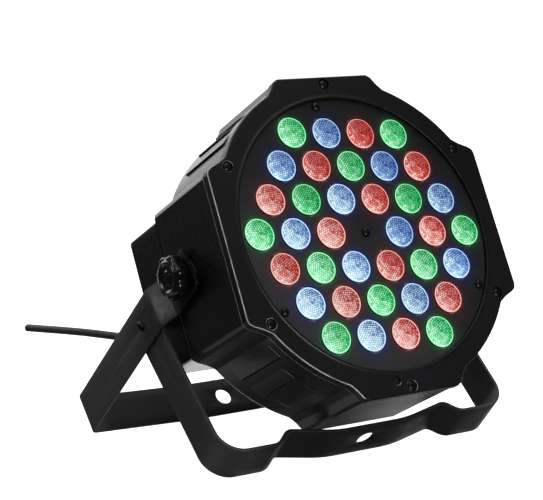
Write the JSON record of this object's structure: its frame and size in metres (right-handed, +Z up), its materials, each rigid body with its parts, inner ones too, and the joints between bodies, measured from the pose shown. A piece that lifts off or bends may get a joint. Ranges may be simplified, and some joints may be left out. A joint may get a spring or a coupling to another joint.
{
  "type": "led par light",
  "caption": "Shallow LED par light: round lens face in a black housing, tilting in a bent-strip yoke with a folding front stand, hand knobs, rear control panel and mains cord.",
  "frame": {"origin": "on the floor under the middle of the whole object's bounding box", "axes": "+Z up, +Y towards the back where the mains cord leaves, the beam leaves towards -Y and 25 degrees upwards, +X to the right seen from the front"},
  "size_m": [0.2116, 0.3184, 0.2143],
  "materials": {
    "bezel_black": "satin moulded black plastic, fine texture",
    "plate_black": "matt black powder coat",
    "lens_clear": "clear moulded acrylic collimators with a beaded face",
    "board_white": "white solder mask",
    "board_green": "green circuit board",
    "aluminium": "plain mill finish",
    "housing_black": "satin moulded black plastic",
    "brass": "plain turned brass",
    "fibre": "black fibre washer",
    "knob_black": "glossy black moulded knob",
    "steel": "zinc plated steel",
    "screw_black": "black oxide screw",
    "strip_black": "satin black powder coated steel strip",
    "fan_black": "black moulded fan",
    "window_smoke": "smoked display window",
    "display_red": "seven-segment display block",
    "core_yellow": "transformer with wrapped winding",
    "can_dark": "sleeved capacitor can",
    "connector_black": "black moulded connector",
    "cord_black": "black round mains cord",
    "button_black": "black push-button cap"
  },
  "bodies": {
    "yoke": {"main_yoke": "strip_black", "stand_pivot_screw_left": "screw_black", "stand_pivot_screw_right": "screw_black", "stand_pivot_nut_left": "steel", "stand_pivot_nut_right": "steel"},
    "head": {"front_bezel": "bezel_black", "front_plate": "plate_black", "lens_array": "lens_clear", "led_board": "board_white", "heat_spreader": "aluminium", "main_housing": "housing_black", "rear_cover": "housing_black", "bezel_screw_1": "screw_black", "bezel_screw_2": "screw_black", "bezel_screw_3": "screw_black", "bezel_screw_4": "screw_black", "bezel_screw_5": "screw_black", "bezel_screw_6": "screw_black", "plate_screw_1": "screw_black", "plate_screw_2": "screw_black", "plate_screw_3": "screw_black", "centre_screw": "screw_black", "rear_cover_screw_1": "screw_black", "rear_cover_screw_2": "screw_black", "rear_cover_screw_3": "screw_black", "rear_cover_screw_4": "screw_black", "fan_screw_1": "screw_black", "fan_screw_2": "screw_black", "fan_screw_3": "screw_black", "fan_screw_4": "screw_black", "fan_frame": "fan_black", "display_window": "window_smoke", "display_module": "display_red", "control_board": "board_green", "microphone": "steel", "power_supply_board": "board_green", "transformer": "core_yellow", "bulk_capacitor": "can_dark", "dmx_in_connector": "connector_black", "dmx_out_connector": "connector_black", "cable_gland": "connector_black", "gland_nut": "connector_black", "power_cord_end": "cord_black", "insert_nut_left": "brass", "insert_nut_right": "brass", "friction_washer_left": "fibre", "friction_washer_right": "fibre"},
    "stand": {"front_stand": "strip_black"},
    "knob_left": {"knob_left": "knob_black", "knob_stud_left": "steel"},
    "knob_right": {"knob_right": "knob_black", "knob_stud_right": "steel"},
    "button_menu": {"button_menu": "button_black"},
    "button_down": {"button_down": "button_black"},
    "button_up": {"button_up": "button_black"},
    "button_enter": {"button_enter": "button_black"},
    "fan_rotor": {"fan_rotor": "fan_black"},
    "cord": {"power_cord": "cord_black"}
  },
  "joints": [
    {"name": "head_tilt", "type": "hinge", "parent": "yoke", "child": "head", "pos_m": [0, -0.07751, 0.10953], "axis": [1, 0, 0], "range_deg": [-65, 10]},
    {"name": "stand_fold", "type": "hinge", "parent": "yoke", "child": "stand", "pos_m": [0, -0.04013, 0.07816], "axis": [1, 0, 0], "range_deg": [0, 96.5]},
    {"name": "cord_flex", "type": "hinge", "parent": "head", "child": "cord", "pos_m": [-0.05, -0.02117, 0.06119], "axis": [1, 0, 0], "range_deg": [-12, 67]},
    {"name": "knob_left_turn", "type": "hinge", "parent": "head", "child": "knob_left", "pos_m": [-0.1, -0.07751, 0.10953], "axis": [-1, 0, 0], "range_deg": [0, 360]},
    {"name": "knob_right_turn", "type": "hinge", "parent": "head", "child": "knob_right", "pos_m": [0.1, -0.07751, 0.10953], "axis": [1, 0, 0], "range_deg": [0, 360]},
    {"name": "fan_spin", "type": "hinge", "parent": "head", "child": "fan_rotor", "pos_m": [0, -0.02309, 0.11504], "axis": [0, -0.9063, 0.4226], "continuous": true},
    {"name": "button_menu_press", "type": "slide", "parent": "head", "child": "button_menu", "axis": [0, -0.9063, 0.4226], "range_m": [0, 0.001], "stiffness_N_per_m": 400},
    {"name": "button_down_press", "type": "slide", "parent": "head", "child": "button_down", "axis": [0, -0.9063, 0.4226], "range_m": [0, 0.001], "stiffness_N_per_m": 400},
    {"name": "button_up_press", "type": "slide", "parent": "head", "child": "button_up", "axis": [0, -0.9063, 0.4226], "range_m": [0, 0.001], "stiffness_N_per_m": 400},
    {"name": "button_enter_press", "type": "slide", "parent": "head", "child": "button_enter", "axis": [0, -0.9063, 0.4226], "range_m": [0, 0.001], "stiffness_N_per_m": 400}
  ],
  "couplings": [
    {"joint": "cord_flex", "follows": "head_tilt", "ratio": -1}
  ]
}
